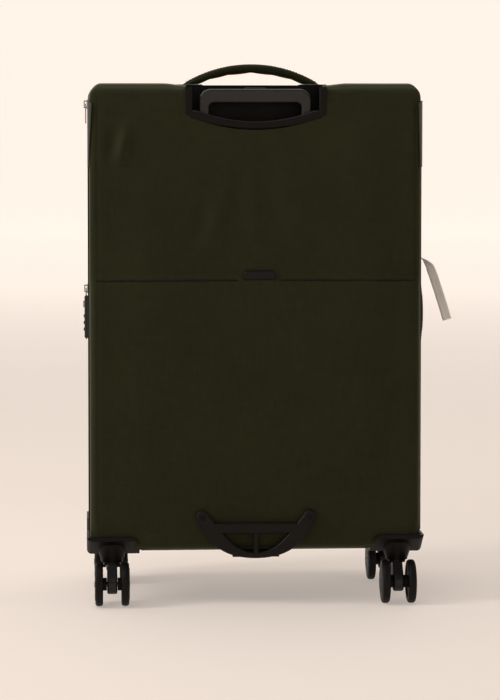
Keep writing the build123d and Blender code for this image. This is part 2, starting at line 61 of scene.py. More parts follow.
# ---------------------------------------------------------------- places read from the frame
PANEL_LOW, PANEL_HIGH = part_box("back_panel")
GUSSET_LOW, GUSSET_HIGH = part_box("rear_gusset")
BAND_LOW, BAND_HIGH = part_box("front_band")
LID_LOW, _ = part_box("front_lid")
POCKET_LOW, POCKET_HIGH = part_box("front_pocket")
BEZEL_LOW, BEZEL_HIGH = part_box("handle_bezel")
HINGE_LOW, HINGE_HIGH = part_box("lid_hinge_strip")
BACK_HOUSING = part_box("corner_housing_back_right")
FRONT_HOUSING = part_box("corner_housing_front_right")
HALF_W = GUSSET_HIGH.x
LOW_Z, HIGH_Z = GUSSET_LOW.z, GUSSET_HIGH.z
BACK_Y = PANEL_LOW.y
SEAM_Y = PANEL_HIGH.y  # where the back panel meets the sides
CORNER_R = 16 * MM
EDGE_R = 12 * MM
TOP_ROLL = 22 * MM
SEAM_Z = 420 * MM
LAP = 8 * MM  # how far the back panel's cloth reaches round onto the sides
LAYER = 2.5 * MM  # the cloth above the seam is one layer thinner
SEAM_X = (-203 * MM, 206 * MM)
WALL = 5 * MM
WARM = (1.0, 0.905, 0.83)
OUTSIDE = 20 * MM  # how far past a surface a cutter reaches or a ray starts


# ---------------------------------------------------------------- small helpers
def add_object(name, data):
    """A new object in the scene."""
    obj = bpy.data.objects.new(name, data)
    SCENE.collection.objects.link(obj)
    return obj


def add_mesh(name, verts, faces):
    """A new mesh from its points and faces."""
    mesh = bpy.data.meshes.new(name)
    mesh.from_pydata([tuple(v) for v in verts], [], faces)
    return mesh


def grid_faces(rows, cols):
    """The faces of an open grid of rows + 1 by cols + 1 points."""
    return [(a, a + 1, a + cols + 2, a + cols + 1)
            for r in range(rows) for a in range(r * (cols + 1), r * (cols + 1) + cols)]


def ring_faces(rows, count, first=0, closed=False):
    """The faces between rows of count points in a ring, and from the last row to the first if closed."""
    faces = []
    for r in range(rows if closed else rows - 1):
        near, far = first + r * count, first + (r + 1) % rows * count
        faces += [(near + k, near + (k + 1) % count, far + (k + 1) % count, far + k) for k in range(count)]
    return faces


def end_faces(rows, count, first=0):
    """The two faces that close the ends of such rows."""
    last = first + (rows - 1) * count
    return [tuple(first + k for k in reversed(range(count))), tuple(last + k for k in range(count))]


def smooth_step(t):
    """Rises smoothly from 0 at 0 to 1 at 1."""
    t = min(max(t, 0.0), 1.0)
    return t * t * (3 - 2 * t)


def rise(value, start, width):
    """Rises smoothly from 0 to 1 as a value in metres passes start, over width, both in mm."""
    return smooth_step((value - start * MM) / (width * MM))


def bell(value, width):
    """Falls smoothly from 1 at a value of 0, to 0.37 where it is width mm."""
    return math.exp(-((value / (width * MM)) ** 2))


def wander(p, size, seed=0.0):
    """Smooth noise from about -1 to 1 with features of that size."""
    return noise.noise(Vector((p[0] / size + seed, p[1] / size, p[2] / size + seed * 0.7)))


def spaced(points, spacing):
    """Steps along a path: yields the stretch's number, the way along it, its length and its direction."""
    travelled, due = 0.0, 0.0
    for i, (a, b) in enumerate(zip(points, points[1:])):
        span = (b - a).length
        along = (b - a).normalized()
        while due < travelled + span:
            yield i, due - travelled, span, along
            due += spacing
        travelled += span


def edge_distance(p):
    """How far a point of the back or the front lies inside the case's outline."""
    return min(HALF_W - abs(p.x), p.z - LOW_Z, HIGH_Z - p.z)


def faces_inside(centre, normal):
    """Does a face of a band round the case look into it?"""
    return max(abs(centre.x) - HALF_W, LOW_Z - centre.z, centre.z - HIGH_Z) < 0.5 * MM - WALL


# ---------------------------------------------------------------- camera, light, stage
def look_from(place, target):
    """The rotation of a camera or lamp at place that looks at target."""
    return (Vector(target) - Vector(place)).to_track_quat("-Z", "Y").to_euler()


def make_camera():
    """A long lens level with the top of the case, in line with its lock side."""
    distance, height, aim_x = 3.414, 0.634, -0.0077
    pitch, raised = math.radians(3.0), 0.3384  # the lens is shifted up by that share of the picture
    data = bpy.data.cameras.new("camera")
    camera = add_object("camera", data)
    eye = Vector((-HALF_W, BACK_Y - distance, height))
    aim = Vector((aim_x, BACK_Y, eye.z))
    reach = (aim - eye).length
    camera.location = eye
    camera.rotation_euler = look_from(eye, aim - Vector((0, 0, reach * math.tan(pitch))))
    data.sensor_fit = "VERTICAL"
    data.sensor_height = 36
    data.lens = 137.5
    data.shift_y = -(raised - math.tan(pitch) * data.lens / data.sensor_height)
    data.clip_end = 50
    SCENE.camera = camera


def area_lamp(name, place, target, size, power, colour):
    """A rectangular soft lamp."""
    data = bpy.data.lights.new(name, "AREA")
    data.shape = "RECTANGLE"
    data.size, data.size_y = size
    data.energy = power
    data.color = colour
    lamp = add_object(name, data)
    lamp.location = place
    lamp.rotation_euler = look_from(place, target)


def make_light():
    """A dim warm world, a big lamp above the case, one on each side, and one above and before its back."""
    world = bpy.data.worlds.new("world")
    world.use_nodes = True
    background = world.node_tree.nodes["Background"]
    background.inputs["Color"].default_value = (*WARM, 1)
    background.inputs["Strength"].default_value = 0.10
    SCENE.world = world
    middle, top = (0, 0, 0.4), (0, 0, 0.6)
    area_lamp("lamp_above", (-0.2, 0.5, 2.7), middle, (2.6, 1.6), 28, (1.0, 0.97, 0.93))
    area_lamp("lamp_left", (-2.5, -0.66, 1.9), top, (0.7, 1.4), 38, (1.0, 0.96, 0.92))
    area_lamp("lamp_right", (2.3, -0.6, 1.8), middle, (1.0, 1.6), 5, (1.0, 0.96, 0.92))
    area_lamp("lamp_front", (-0.7, -1.2, 2.0), (0, 0, 0.7), (1.4, 0.7), 8, (1.0, 0.97, 0.94))
    SCENE.view_settings.view_transform = "Standard"
    SCENE.view_settings.look = "None"


# ---------------------------------------------------------------- materials
class Nodes:
    """A material under construction, with short calls for its nodes."""

    def __init__(self, name, colour, roughness, metallic=0.0, specular=0.5):
        self.material = bpy.data.materials.new(name)
        self.material.use_nodes = True
        self.tree = self.material.node_tree
        self.shader = self.tree.nodes["Principled BSDF"]
        self.shader.inputs["Base Color"].default_value = (*colour, 1)
        self.shader.inputs["Roughness"].default_value = roughness
        self.shader.inputs["Metallic"].default_value = metallic
        self.shader.inputs["Specular IOR Level"].default_value = specular
        self.colour = colour
        self.place = self.node("ShaderNodeTexCoord").outputs["Object"]

    def node(self, kind, **settings):
        """Adds a node; settings are its properties, or its inputs by name with _ for a space."""
        made = self.tree.nodes.new(kind)
        for key, value in settings.items():
            if hasattr(made, key):
                setattr(made, key, value)
            else:
                made.inputs[key.replace("_", " ")].default_value = value
        return made

    def link(self, a, b):
        self.tree.links.new(a, b)

    def noise(self, scale, detail=3.0, roughness=0.55, squeeze=(1, 1, 1)):
        """A noise value in object space, optionally stretched along an axis."""
        mapping = self.node("ShaderNodeMapping")
        mapping.inputs["Scale"].default_value = squeeze
        self.link(self.place, mapping.inputs["Vector"])
        made = self.node("ShaderNodeTexNoise", Scale=scale, Detail=detail, Roughness=roughness)
        self.link(mapping.outputs["Vector"], made.inputs["Vector"])
        return made.outputs["Fac"]

    def math(self, operation, a, b=0.0):
        made = self.node("ShaderNodeMath", operation=operation)
        for socket, value in zip(made.inputs, (a, b)):
            if isinstance(value, (int, float)):
                socket.default_value = value
            else:
                self.link(value, socket)
        return made.outputs[0]

    def ramp(self, value, low, high, start, end):
        """Maps value from low..high onto start..end."""
        made = self.node("ShaderNodeMapRange")
        self.link(value, made.inputs["Value"])
        for name, number in (("From Min", low), ("From Max", high), ("To Min", start), ("To Max", end)):
            made.inputs[name].default_value = number
        return made.outputs["Result"]

    def tint(self, value, dark, light):
        """Colours the surface between two shades of its colour by a value from 0 to 1."""
        mix = self.node("ShaderNodeMix", data_type="RGBA")
        self.link(value, mix.inputs["Factor"])
        first, second, result = mix.inputs[6], mix.inputs[7], mix.outputs[2]  # its colour sockets
        first.default_value = (*[c * dark for c in self.colour], 1)
        second.default_value = (*[c * light for c in self.colour], 1)
        self.link(result, self.shader.inputs["Base Color"])

    def roughen(self, value, low, high):
        self.link(self.ramp(value, 0.3, 0.7, low, high), self.shader.inputs["Roughness"])

    def bump(self, height, strength, depth):
        made = self.node("ShaderNodeBump", Strength=strength, Distance=depth)
        self.link(height, made.inputs["Height"])
        self.link(made.outputs["Normal"], self.shader.inputs["Normal"])

    def sheen(self, weight, roughness, tint):
        self.shader.inputs["Sheen Weight"].default_value = weight
        self.shader.inputs["Sheen Roughness"].default_value = roughness
        self.shader.inputs["Sheen Tint"].default_value = (*tint, 1)


def thread_wave(m, axis, pitch, shift=0.0):
    """A sine along one axis of object space, from 0 to 1, with the given thread pitch."""
    parts = m.node("ShaderNodeSeparateXYZ")
    m.link(m.place, parts.inputs[0])
    turned = m.math("ADD", m.math("MULTIPLY", parts.outputs[axis], 2 * math.pi / pitch), shift)
    return m.math("ADD", m.math("MULTIPLY", m.math("SINE", turned), 0.5), 0.5)


def weave_height(m, pitch):
    """Crossing threads on whichever faces of the object they lie in, as one height."""
    facing = m.node("ShaderNodeSeparateXYZ")
    m.link(m.node("ShaderNodeTexCoord").outputs["Normal"], facing.inputs[0])
    total = None
    for axis in range(3):
        first, second = [i for i in range(3) if i != axis]
        weight = m.math("POWER", m.math("ABSOLUTE", facing.outputs[axis]), 4.0)
        over = m.math("MAXIMUM", thread_wave(m, first, pitch), thread_wave(m, second, pitch, math.pi / 2))
        part = m.math("MULTIPLY", over, weight)
        total = part if total is None else m.math("ADD", total, part)
    return total


def woven(name, colour, pitch=1.1 * MM, sheen=0.3, roughness=0.72, depth=0.12 * MM):
    """Polyester cloth: crossed threads, slubs along them, faint uneven dye and a soft sheen."""
    m = Nodes(name, colour, roughness, specular=0.11)
    weave = weave_height(m, pitch)
    slub_x = m.noise(420, 2, 0.6, (0.12, 0.3, 1))
    slub_z = m.noise(420, 2, 0.6, (1, 0.3, 0.12))
    slubs = m.math("MULTIPLY", m.math("ADD", slub_x, slub_z), 0.5)
    cloudy = m.noise(9, 3)
    shade = m.math("ADD", m.math("MULTIPLY", slubs, 0.75), m.math("MULTIPLY", cloudy, 0.25))
    m.tint(m.ramp(shade, 0.36, 0.64, 0, 1), 0.72, 1.32)
    m.roughen(slubs, roughness - 0.08, roughness + 0.1)
    m.bump(m.math("ADD", weave, m.math("MULTIPLY", slubs, 1.4)), 0.55, depth)
    m.sheen(sheen, 0.45, (0.8, 0.82, 0.62))
    return m.material


def moulded(name, colour, roughness=0.45, grain=1400, depth=0.05 * MM, specular=0.22, painted_shade_y=None):
    """Moulded plastic: fine grain, slight gloss changes and pale rubbed patches.

    The last argument is a depth along Y behind which the colour is painted darker, as painted shade inside a
    cup.
    """
    m = Nodes(name, colour, roughness, specular=specular)
    fine = m.noise(grain, 2)
    broad = m.noise(26, 4, 0.6)
    patches = m.ramp(broad, 0.35, 0.7, 0, 1)
    if painted_shade_y is not None:
        # painted shade: behind the given depth the colour is painted down to 0.04 of itself, as shade deep in
        # a cup
        parts = m.node("ShaderNodeSeparateXYZ")
        m.link(m.place, parts.inputs[0])
        unshaded = m.ramp(parts.outputs[1], painted_shade_y, painted_shade_y + 4 * MM, 1, 0)
        patches = m.math("MULTIPLY", patches, unshaded)
        shade = m.math("ADD", m.math("MULTIPLY", unshaded, 0.7), m.math("MULTIPLY", patches, 0.3))
        m.tint(shade, 0.04, 1.2)
    else:
        m.tint(patches, 0.82, 1.3)
    m.roughen(m.math("ADD", m.math("MULTIPLY", fine, 0.35), m.math("MULTIPLY", broad, 0.65)),
              roughness - 0.07, roughness + 0.1)
    m.bump(fine, 0.35, depth)
    return m.material


def metal(name, colour, roughness, brushed=(1, 1, 1), grain=900):
    """Plated or anodised metal with fine drawn lines and smudges."""
    m = Nodes(name, colour, roughness, metallic=1.0)
    lines = m.noise(grain, 2, 0.5, brushed)
    smudge = m.noise(30, 3)
    m.tint(m.ramp(smudge, 0.3, 0.7, 0, 1), 0.85, 1.1)
    m.roughen(m.math("MULTIPLY", m.math("ADD", lines, smudge), 0.5), roughness - 0.06, roughness + 0.12)
    m.bump(lines, 0.2, 0.02 * MM)
    return m.material


OLIVE = (0.0126, 0.0138, 0.0032)
THREAD = (0.004, 0.004, 0.002)


def make_materials():
    """Every surface's material by a plain name."""
    return {
        "body": woven("woven_olive", OLIVE),
        "trim": woven("woven_trim", [c * 0.8 for c in OLIVE], pitch=1.6 * MM),
        "piping": woven("piping_cloth", [c * 0.6 for c in OLIVE], pitch=0.9 * MM),
        "webbing": woven("handle_webbing", [c * 0.85 for c in OLIVE], pitch=1.9 * MM, sheen=0.12,
                         depth=0.25 * MM),
        "lining": woven("lining_cloth", (0.075, 0.075, 0.08), pitch=0.7 * MM, sheen=0.1, roughness=0.6),
        "gusset": woven("expansion_cloth", (0.009, 0.009, 0.008), pitch=0.8 * MM, sheen=0.1),
        "tape": woven("zip_tape_cloth", (0.008, 0.008, 0.007), pitch=0.8 * MM, sheen=0.05),
        "thread": woven("sewing_thread", THREAD, pitch=0.5 * MM, sheen=0.1),
        "coil": moulded("zip_coil_nylon", (0.010, 0.010, 0.009), 0.38),
        "coated": moulded("coated_trim", (0.030, 0.034, 0.028), 0.34, grain=500),
        # the bezel's cup gets painted shade deeper than Y = -132 mm
        "bezel": moulded("bezel_plastic", (0.0042, 0.0035, 0.0028), 0.38, specular=0.10, painted_shade_y=-132 * MM),
        "grip": moulded("grip_plastic", (0.0080, 0.0070, 0.0062), 0.32, specular=0.34),
        "button": moulded("button_plastic", (0.008, 0.0072, 0.0068), 0.42),
        "kick": moulded("kick_plastic", (0.0050, 0.0042, 0.0034), 0.5, specular=0.14, grain=1000,
                         depth=0.08 * MM),
        "housing": moulded("housing_plastic", (0.0032, 0.0027, 0.0021), 0.42, specular=0.12, grain=1000,
                            depth=0.07 * MM),
        "fork": moulded("fork_plastic", (0.0100, 0.0088, 0.0080), 0.4, specular=0.3),
        "wheel": moulded("wheel_polyurethane", (0.0052, 0.0044, 0.0040), 0.5, specular=0.12, grain=700),
        "hub": moulded("hub_plastic", (0.0070, 0.0062, 0.0058), 0.4),
        "tag": moulded("tag_plastic", (0.0045, 0.0040, 0.0034), 0.34, specular=0.15),
        "board": moulded("board_plastic", (0.03, 0.03, 0.03), 0.6),
        "lock": moulded("lock_plastic", (0.0070, 0.0060, 0.0055), 0.3, specular=0.4),
        "dial": moulded("dial_plastic", (0.02, 0.02, 0.02), 0.45),
        "tube": metal("anodised_tube", (0.30, 0.30, 0.30), 0.3, (1, 1, 0.02)),
        "steel": metal("turned_steel", (0.45, 0.44, 0.43), 0.32),
        "black_steel": metal("blackened_steel", (0.016, 0.014, 0.013), 0.45),
        "gunmetal": metal("gunmetal_plating", (0.34, 0.32, 0.30), 0.24),
        "ribbon": ribbon_material(),
    }


def ribbon_material():
    """Translucent synthetic paper that lets light through."""
    m = Nodes("ribbon_film", (0.88, 0.85, 0.82), 0.42)
    m.tint(m.noise(60, 3), 0.93, 1.06)
    m.bump(m.noise(700, 2), 0.15, 0.05 * MM)
    m.shader.inputs["Transmission Weight"].default_value = 0.25
    m.shader.inputs["Subsurface Weight"].default_value = 0.3
    m.shader.inputs["Subsurface Radius"].default_value = (0.002, 0.002, 0.002)
    return m.material


# ---------------------------------------------------------------- mesh helpers
def make_piece(name, verts, faces, material, body, slot, smooth=True):
    """A mesh object that rides on a body, or on none where it spans a joint."""
    mesh = add_mesh(name, verts, faces)
    mesh.validate()
    mesh.update()
    mesh.materials.append(material)
    mesh.shade_smooth() if smooth else mesh.shade_flat()
    obj = add_object(name, mesh)
    if body:
        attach(obj, body)
    return obj


def apply_modifiers(obj):
    """Makes an object's modifiers part of its mesh."""
    bpy.context.view_layer.update()
    done = bpy.data.meshes.new_from_object(obj.evaluated_get(bpy.context.evaluated_depsgraph_get()))
    obj.modifiers.clear()
    obj.data = done


def outline(inset=0.0, step=6 * MM):
    """Points round the body's rounded rectangle, from the middle of its bottom.

    Each is (x, z, outward x, outward z).
    """
    radius = max(CORNER_R - inset, 3 * MM)
    half = HALF_W - inset
    low, high = LOW_Z + inset, HIGH_Z - inset
    wide = round(2 * HALF_W / step / 2) * 2
    tall = round((HIGH_Z - LOW_Z) / step)
    turn = 8
    points = []

    def run(a, b, normal, count, start=0):
        for i in range(start, count):
            t = i / count
            points.append((a[0] + (b[0] - a[0]) * t, a[1] + (b[1] - a[1]) * t, *normal))

    def bend(cx, cz, first):
        for i in range(turn):
            angle = math.radians(first + 90 * i / turn)
            c, s = math.cos(angle), math.sin(angle)
            points.append((cx + radius * c, cz + radius * s, c, s))

    inner_x, inner_low, inner_high = half - radius, low + radius, high - radius
    run((0, low), (inner_x, low), (0, -1), wide // 2)
    bend(inner_x, inner_low, -90)
    run((half, inner_low), (half, inner_high), (1, 0), tall)
    bend(inner_x, inner_high, 0)
    run((inner_x, high), (-inner_x, high), (0, 1), wide)
    bend(-inner_x, inner_high, 90)
    run((-half, inner_high), (-half, inner_low), (-1, 0), tall)
    bend(-inner_x, inner_low, 180)
    run((-inner_x, low), (0, low), (0, -1), wide // 2)
    return points


def ring_skin(name, profile, material, body, slot, swell=None):
    """A closed band round the body: each profile point is (inset, y), and swell moves its points outward."""
    verts = []
    for row, (inset, y) in enumerate(profile):
        for x, z, nx, nz in outline(inset):
            out = swell(Vector((x, y, z)), row, nx, nz) if swell else 0.0
            verts.append((x + nx * out, y, z + nz * out))
    faces = ring_faces(len(profile), len(outline()), closed=True)
    obj = make_piece(name, verts, faces, material, body, slot)
    face_outwards(obj.data)
    return obj


def face_outwards(mesh):
    """Turns a closed mesh's faces outward."""
    b = bmesh.new()
    b.from_mesh(mesh)
    bmesh.ops.recalc_face_normals(b, faces=b.faces)
    b.to_mesh(mesh)
    b.free()


def thicken(obj, thickness):
    """Gives an open sheet of faces its thickness, half on each side."""
    solid = obj.modifiers.new("solid", "SOLIDIFY")
    solid.thickness = thickness
    solid.offset = 0
    apply_modifiers(obj)
    obj.data.shade_smooth()
    face_outwards(obj.data)


def cut_mesh(obj, mesh):
    """Cuts a closed mesh out of a piece."""
    cutter = add_object("cutter", mesh)
    tool = obj.modifiers.new("cut", "BOOLEAN")
    tool.operation = "DIFFERENCE"
    tool.object = cutter
    tool.solver = "EXACT"
    apply_modifiers(obj)
    bpy.data.objects.remove(cutter)


def cut_boxes(obj, boxes):
    """Cuts boxes, given by their lowest and highest corners, out of a closed piece."""
    verts, faces = [], []
    for low, high in boxes:
        first = len(verts)
        verts += [(x, y, z) for x in (low[0], high[0]) for y in (low[1], high[1]) for z in (low[2], high[2])]
        faces += [tuple(first + i for i in f) for f in
                  ((0, 1, 3, 2), (4, 6, 7, 5), (0, 4, 5, 1), (2, 3, 7, 6), (0, 2, 6, 4), (1, 5, 7, 3))]
    cut_mesh(obj, add_mesh("cutter", verts, faces))


def tube(name, path, radius, material, body, slot, closed=False, sides=8):
    """A round tube along a list of points."""
    points = [Vector(p) for p in path]
    count = len(points)
    verts = []
    previous = None
    for i, p in enumerate(points):
        before = points[i - 1] if i or closed else p
        after = points[(i + 1) % count] if i + 1 < count or closed else p
        along = (after - before).normalized()
        side = (previous - along * previous.dot(along)) if previous else along.orthogonal()
        side.normalize()
        previous = side
        up = along.cross(side)
        for k in range(sides):
            a = 2 * math.pi * k / sides
            verts.append(p + side * (radius * math.cos(a)) + up * (radius * math.sin(a)))
    faces = ring_faces(count, sides, closed=closed)
    if not closed:
        faces += end_faces(count, sides)
    return make_piece(name, verts, faces, material, body, slot)


# ---------------------------------------------------------------- padded cloth by simulation
SIM_FRAMES = 20


def soft_piece(node, name, body, material, voxel, cap, held, pressure=4.0, shrink=1.0 * MM,
               form=None, shape=None):
    """A padded piece blown out from its CAD solid, or another form, by a short cloth simulation.

    held(point, normal) says how firmly a point stays where it is, from 0 to 1, and
    shape(point) moves a point of the form before the simulation.
    """
    obj = add_object(name, form or NODES[node].data.copy())
    obj.data.materials.clear()
    obj.data.materials.append(material)
    mesher = obj.modifiers.new("remesh", "REMESH")
    mesher.mode = "VOXEL"
    mesher.voxel_size = voxel
    apply_modifiers(obj)
    mesh = obj.data
    if shape:
        for v in mesh.vertices:
            v.co = shape(v.co)
    grip = obj.vertex_groups.new(name="held")
    start = []
    for v, normal in zip(mesh.vertices, [v.normal.copy() for v in mesh.vertices]):
        firm = held(v.co, normal)
        grip.add([v.index], firm, "REPLACE")
        start.append(v.co - normal * shrink * (1 - firm))
    for v, place in zip(mesh.vertices, start):
        v.co = place
    cloth = obj.modifiers.new("cloth", "CLOTH")
    settings = cloth.settings
    settings.quality = 4
    settings.mass = 0.3
    settings.use_pressure = True
    settings.uniform_pressure_force = pressure
    settings.effector_weights.gravity = 0
    settings.vertex_group_mass = "held"
    settings.tension_stiffness = 15
    settings.compression_stiffness = 12
    settings.bending_stiffness = 3
    cloth.point_cache.frame_start, cloth.point_cache.frame_end = 1, SIM_FRAMES
    for number in range(1, SIM_FRAMES + 1):
        SCENE.frame_set(number)
    apply_modifiers(obj)
    mesh = obj.data
    for v, first in zip(mesh.vertices, start):
        move = v.co - first
        if move.length > cap:
            v.co = first + move.normalized() * cap
    SCENE.frame_set(1)
    smoother = obj.modifiers.new("smooth", "SMOOTH")
    smoother.factor, smoother.iterations = 0.5, 3
    divider = obj.modifiers.new("divide", "SUBSURF")
    divider.levels = divider.render_levels = 1
    apply_modifiers(obj)
    obj.data.shade_smooth()
    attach(obj, body)
    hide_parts(node)
    return obj


def push_surface(obj, amount):
    """Moves each point along its normal by amount(point, normal)."""
    mesh = obj.data
    moves = [v.normal * amount(v.co, v.normal) for v in mesh.vertices]
    for v, move in zip(mesh.vertices, moves):
        v.co += move
    mesh.update()


def surface_of(obj):
    """A tree for finding where rays meet a piece."""
    return BVHTree.FromPolygons([v.co for v in obj.data.vertices], [p.vertices for p in obj.data.polygons])


def landed(tree, start, direction, lift):
    """Where a ray meets the surface, lifted off it, or None."""
    hit, _, _, _ = tree.ray_cast(Vector(start), Vector(direction))
    return None if hit is None else hit - Vector(direction).normalized() * lift


def stitches(name, path, tree, direction, body, slot, material,
             length=3.0 * MM, gap=1.3 * MM, thick=0.42 * MM):
    """A row of sewn thread lengths along a path, each dropped onto the surface."""
    sides = 6
    shape = ((-0.5, 0.35), (-0.36, 0.9), (0, 1.0), (0.36, 0.9), (0.5, 0.35))  # shares of length and thick
    verts, faces = [], []
    points = [Vector(p) for p in path]
    outward = -Vector(direction).normalized()
    for i, offset, _, along in spaced(points, length + gap):
        middle = points[i] + along * offset
        place = landed(tree, middle - Vector(direction) * 0.05, direction, thick * 0.35)
        if place is None:
            continue
        across = along.cross(outward)
        first = len(verts)
        for t, size in shape:
            for k in range(sides):
                angle = math.pi / 3 * k
                spread = across * math.cos(angle) + outward * math.sin(angle)
                verts.append(place + along * (length * t) + spread * (thick * size))
        faces += ring_faces(len(shape), sides, first) + end_faces(len(shape), sides, first)
    return make_piece(name, verts, faces, material, body, slot)


# ---------------------------------------------------------------- the case's cloth shell
def edge_inset(y, radius=EDGE_R):
    """How far the rounded back edge lies inside the case's outline at that depth."""
    short = max(radius - (y - BACK_Y), 0.0)
    return radius - math.sqrt(max(radius * radius - short * short, 0.0))


def top_bulge(p):
    """How far the case's top stands up on each side of the handle."""
    return 2.4 * MM * rise(abs(p.x) - BEZEL_HIGH.x, 1, 26) * rise(HALF_W - abs(p.x), 0, 16)


def rolled_top(p):
    """Puts a point on the softer roll of the case's top, with its bulge."""
    if p.z < HIGH_Z - TOP_ROLL:
        return p
    y, z = p.y - (BACK_Y + TOP_ROLL), p.z - (HIGH_Z - TOP_ROLL)
    if y < 0:
        reach = math.hypot(y, z)
        if reach > TOP_ROLL:
            y, z = y * TOP_ROLL / reach, z * TOP_ROLL / reach
    return Vector((p.x, y + BACK_Y + TOP_ROLL, z + HIGH_Z - TOP_ROLL + top_bulge(p) * z / TOP_ROLL))


def prism(outline_points, y_low, y_high):
    """A closed mesh between two depths along Y, from a loop of (x, z)."""
    count = len(outline_points)
    verts = [(x, y, z) for y in (y_low, y_high) for x, z in outline_points]
    mesh = add_mesh("prism", verts, ring_faces(2, count) + end_faces(2, count))
    face_outwards(mesh)
    return mesh


def bezel_notch(inset):
    """The bezel's sagging U, drawn in by inset so that the cloth's cut edge is under its rim."""
    half, above = BEZEL_HIGH.x - inset, HIGH_Z + OUTSIDE
    # the sides end at the shoulder, and the sag runs from one corner to the other
    shoulder, corner, floor = 633 * MM + inset / 2, 627.5 * MM + inset, BEZEL_LOW.z + inset
    tall, wide = corner - floor, half - 8 * MM
    radius = (wide * wide + tall * tall) / (2 * tall)
    steps = 40
    sag = []
    for i in range(steps + 1):
        x = wide - 2 * wide * i / steps
        sag.append((x, floor + radius - math.sqrt(radius * radius - x * x)))
    return [(half, above), (half, shoulder), *sag, (-half, shoulder), (-half, above)]


def housing_cuts(sunk=6 * MM):
    """Boxes inside the corner housings, where the cloth under them is left out."""
    cuts = []
    for node in NODES:
        if node.startswith("corner_housing"):
            low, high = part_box(node)
            left, back = low.x < 0, low.y < 0
            cuts.append((
                (low.x if left else low.x + sunk,
                 low.y if back else low.y + sunk,
                 low.z - OUTSIDE),
                (high.x - sunk if left else high.x,
                 high.y - sunk if back else high.y + 0.5 * MM,
                 high.z - sunk),
            ))
    return cuts


def back_folds(p):
    """The soft folds and dents in the back panel's cloth, as a height."""
    folds = (
        # start and end (x, z), height, half width, all in millimetres
        ((-166, 614), (-175, 572), 2.4, 8),
        ((-182, 612), (-188, 578), -1.6, 9),
        ((-30, 560), (-66, 452), 1.3, 15),
        ((-60, 520), (-78, 462), -1.0, 12),
        ((-8, 590), (2, 470), 1.0, 14),
        ((38, 560), (60, 470), 0.9, 16),
        ((-120, 500), (-150, 440), 0.8, 18),
        ((120, 600), (150, 500), 0.8, 22),
        ((-40, 300), (-90, 180), 0.8, 26),
        ((60, 330), (110, 170), 0.8, 28),
    )
    height = 0.0
    for (x0, z0), (x1, z1), tall, wide in folds:
        a = Vector((x0, z0)) * MM
        b = Vector((x1, z1)) * MM
        q = Vector((p.x, p.z))
        t = max(0.0, min(1.0, (q - a).dot(b - a) / (b - a).length_squared))
        away = (q - a - (b - a) * t).length / (wide * MM)
        height += tall * MM * math.exp(-away * away) * (0.35 + 0.65 * math.sin(math.pi * t))
    return height


def panel_form():
    """The back panel as a plain closed slab with a rounded edge and a lip behind its wall."""
    rows = []
    for degrees in range(0, 61, 15):
        angle = math.radians(degrees)
        rows.append((EDGE_R - EDGE_R * math.sin(angle), BACK_Y + EDGE_R * (1 - math.cos(angle))))
    rows += [(edge_inset(SEAM_Y), SEAM_Y), (0.0, SEAM_Y + LAP), (WALL, SEAM_Y + LAP), (WALL, SEAM_Y)]
    verts = [(x, y, z) for inset, y in rows for x, z, _, _ in outline(inset)]
    count = len(outline())
    return add_mesh("panel_form", verts, ring_faces(len(rows), count) + end_faces(len(rows), count))


def panel_held(p, n):
    """How firmly a point of the back panel stays in the simulation: its edge, inside and handle do."""
    inner = 1.0 if n.y > 0.3 or p.y > SEAM_Y else 0.0
    from_cup = math.hypot(max(abs(p.x) - 80 * MM, 0), max(640 * MM - p.z, 0))
    return max(inner, 1 - rise(from_cup, 24, 30), 1 - rise(edge_distance(p), 8, 40))


def panel_relief(p, n):
    """How far a point of the back panel stands out: folds, sewn seams and the tag's dimple."""
    if n.y > -0.5:
        return 0.0
    edge = edge_distance(p)
    from_bezel = math.hypot(max(abs(p.x) - 70 * MM, 0), max(630 * MM - p.z, 0))
    from_grab = math.hypot(p.x, p.z - 90 * MM)
    from_tag = math.hypot(max(abs(p.x - 4 * MM) - 20 * MM, 0), p.z - SEAM_Z)
    from_housing = math.hypot(max(BACK_HOUSING[0].x - abs(p.x), 0), max(p.z - BACK_HOUSING[1].z, 0))
    free = rise(edge, 0, 45) * rise(from_bezel, 10, 30) * rise(from_grab, 80, 30) * rise(from_tag, 6, 26)
    soft = 0.9 * MM * wander(p, 0.085, 3.1) + 0.35 * MM * wander(p, 0.034, 7.7)
    loose = (2.3 * back_folds(p) + soft) * free
    seam = bell(p.z - SEAM_Z, 2.4) * rise(edge, 0, 12)
    upright = max(bell(p.x - x, 1.9) for x in SEAM_X) * rise(p.z, 96, 20) * rise(HIGH_Z - p.z, 0, 24)
    dimple = -0.9 * MM * bell(from_tag, 9) * min(abs(p.z - SEAM_Z) / (5 * MM), 1)
    step = LAYER * rise(p.z - SEAM_Z, 0, 7) * rise(HIGH_Z - p.z, 4, 14) * rise(edge, 1, 8)
    step += 1.6 * MM * (1 - rise(from_housing, 2, 14))
    return loose - 1.3 * MM * seam - 0.9 * MM * upright + dimple - step


def make_back_panel(look):
    """The padded back, with its seams and folds."""
    panel = soft_piece("back_panel", "back_panel_cloth", "shell", look["body"],
                       4.5 * MM, 3 * MM, panel_held, pressure=3.0, shrink=0.6 * MM,
                       form=panel_form(), shape=rolled_top)
    push_surface(panel, panel_relief)
    cut_mesh(panel, prism(bezel_notch(1.2 * MM), BACK_Y - OUTSIDE, SEAM_Y + 0.03))
    cut_boxes(panel, housing_cuts())
    panel.data.shade_smooth()
    return panel


def line_inside(obj, look, is_inner):
    """Gives the faces that look into the case the lining's cloth."""
    obj.data.materials.append(look["lining"])
    for face in obj.data.polygons:
        if is_inner(face.center, face.normal):
            face.material_index = 1


